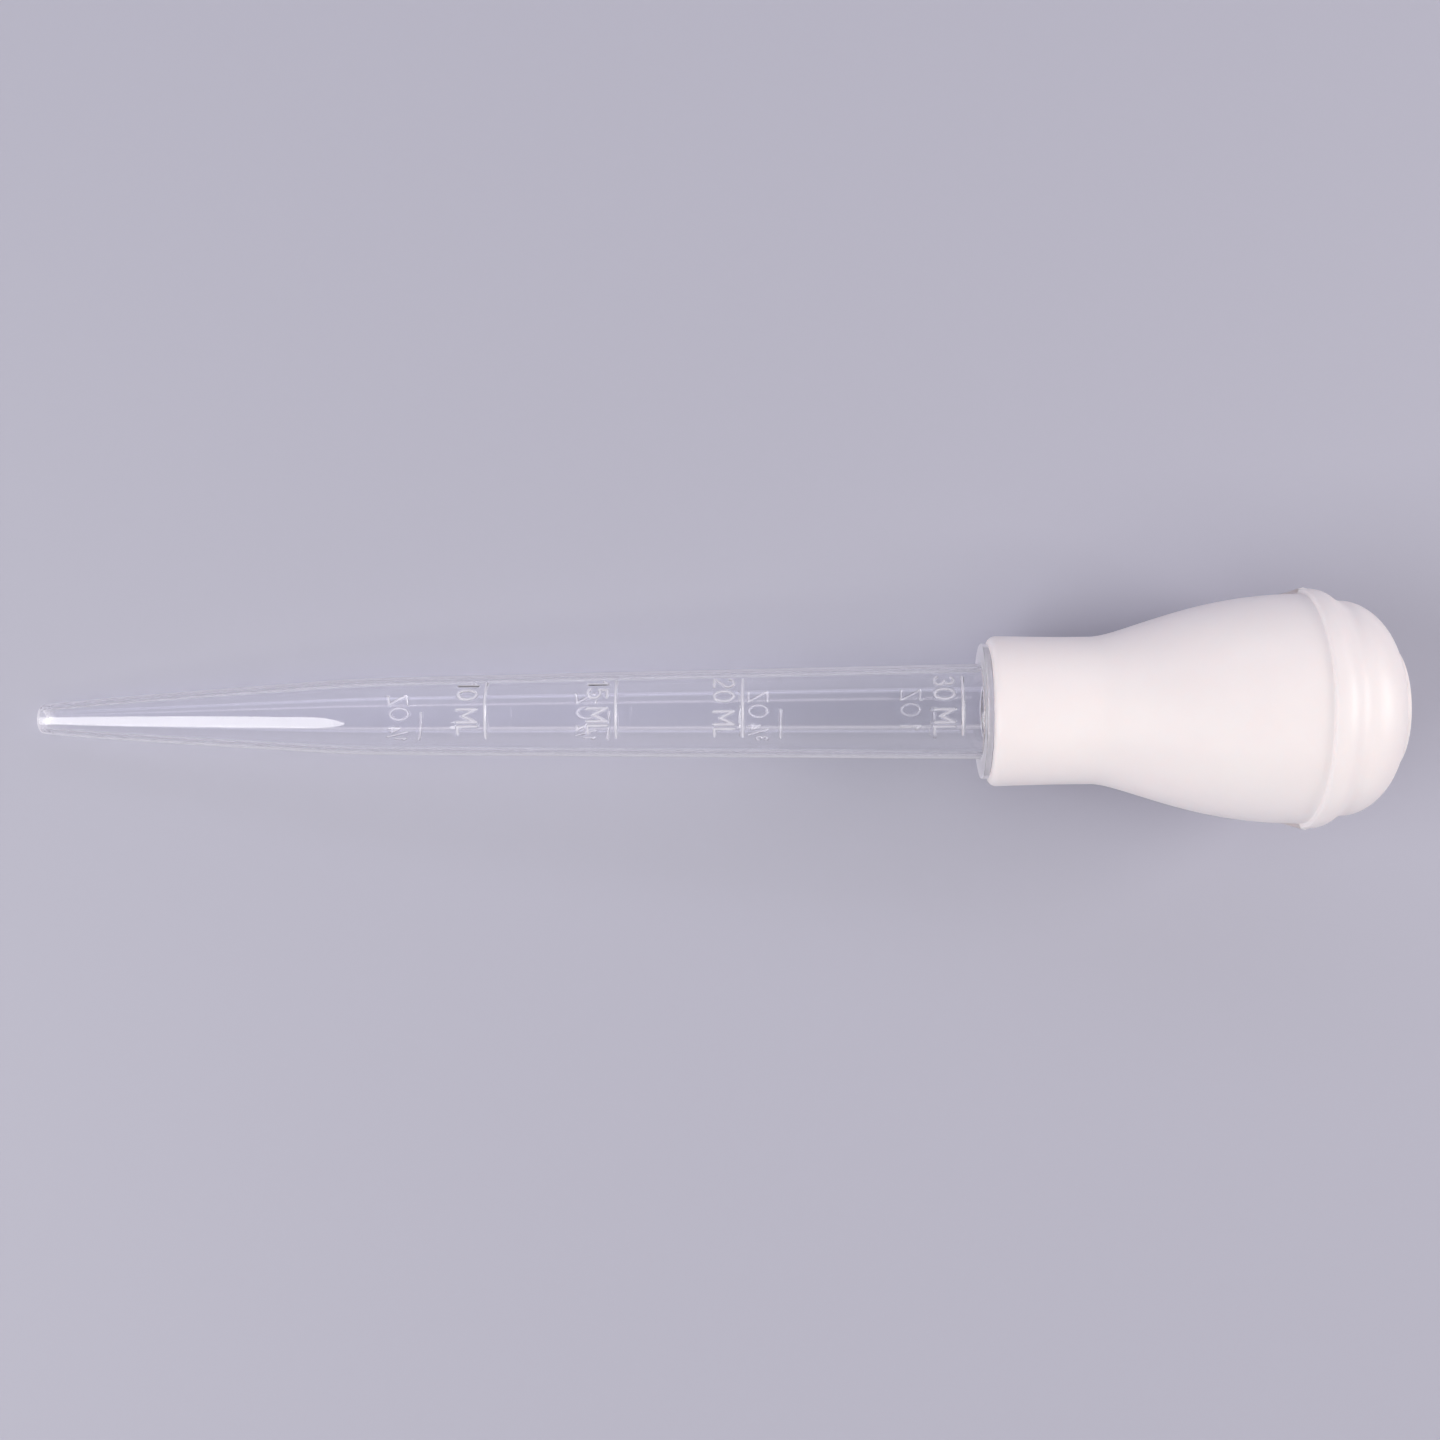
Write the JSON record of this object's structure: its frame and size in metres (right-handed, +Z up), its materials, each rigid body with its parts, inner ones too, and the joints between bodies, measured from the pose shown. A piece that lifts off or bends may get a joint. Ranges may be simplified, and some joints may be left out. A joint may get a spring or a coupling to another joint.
{
  "type": "turkey baster",
  "caption": "Kitchen baster: a clear tapering graduated tube with a stop flange, pushed into a soft white squeeze bulb with a beaded base.",
  "frame": {"origin": "middle of the lying part's footprint, on the table it lies on", "axes": "+X along the baster from the nozzle to the bulb, +Z up from the table; the baster's own axis climbs 4.5 degrees towards the bulb"},
  "size_m": [0.281, 0.0488, 0.0483],
  "materials": {
    "clear_resin": "clear, polished moulding",
    "white_silicone": "soft, satin moulding"
  },
  "bodies": {
    "tube": {"graduated_tube": "clear_resin"},
    "bulb": {"squeeze_bulb": "white_silicone"},
    "upper_wall": {"upper_squeeze_wall": "white_silicone"},
    "lower_wall": {"lower_squeeze_wall": "white_silicone"}
  },
  "joints": [
    {"name": "bulb_pull_off", "type": "slide", "parent": "tube", "child": "bulb", "axis": [0.9969, 0, 0.0789], "range_m": [0, 0.03]},
    {"name": "upper_squeeze", "type": "slide", "parent": "bulb", "child": "upper_wall", "axis": [0.0789, 0, -0.9969], "range_m": [0, 0.01], "stiffness_N_per_m": 600},
    {"name": "lower_squeeze", "type": "slide", "parent": "bulb", "child": "lower_wall", "axis": [-0.0789, 0, 0.9969], "range_m": [0, 0.01], "stiffness_N_per_m": 600}
  ],
  "couplings": [
    {"joint": "lower_squeeze", "follows": "upper_squeeze", "ratio": 1}
  ]
}
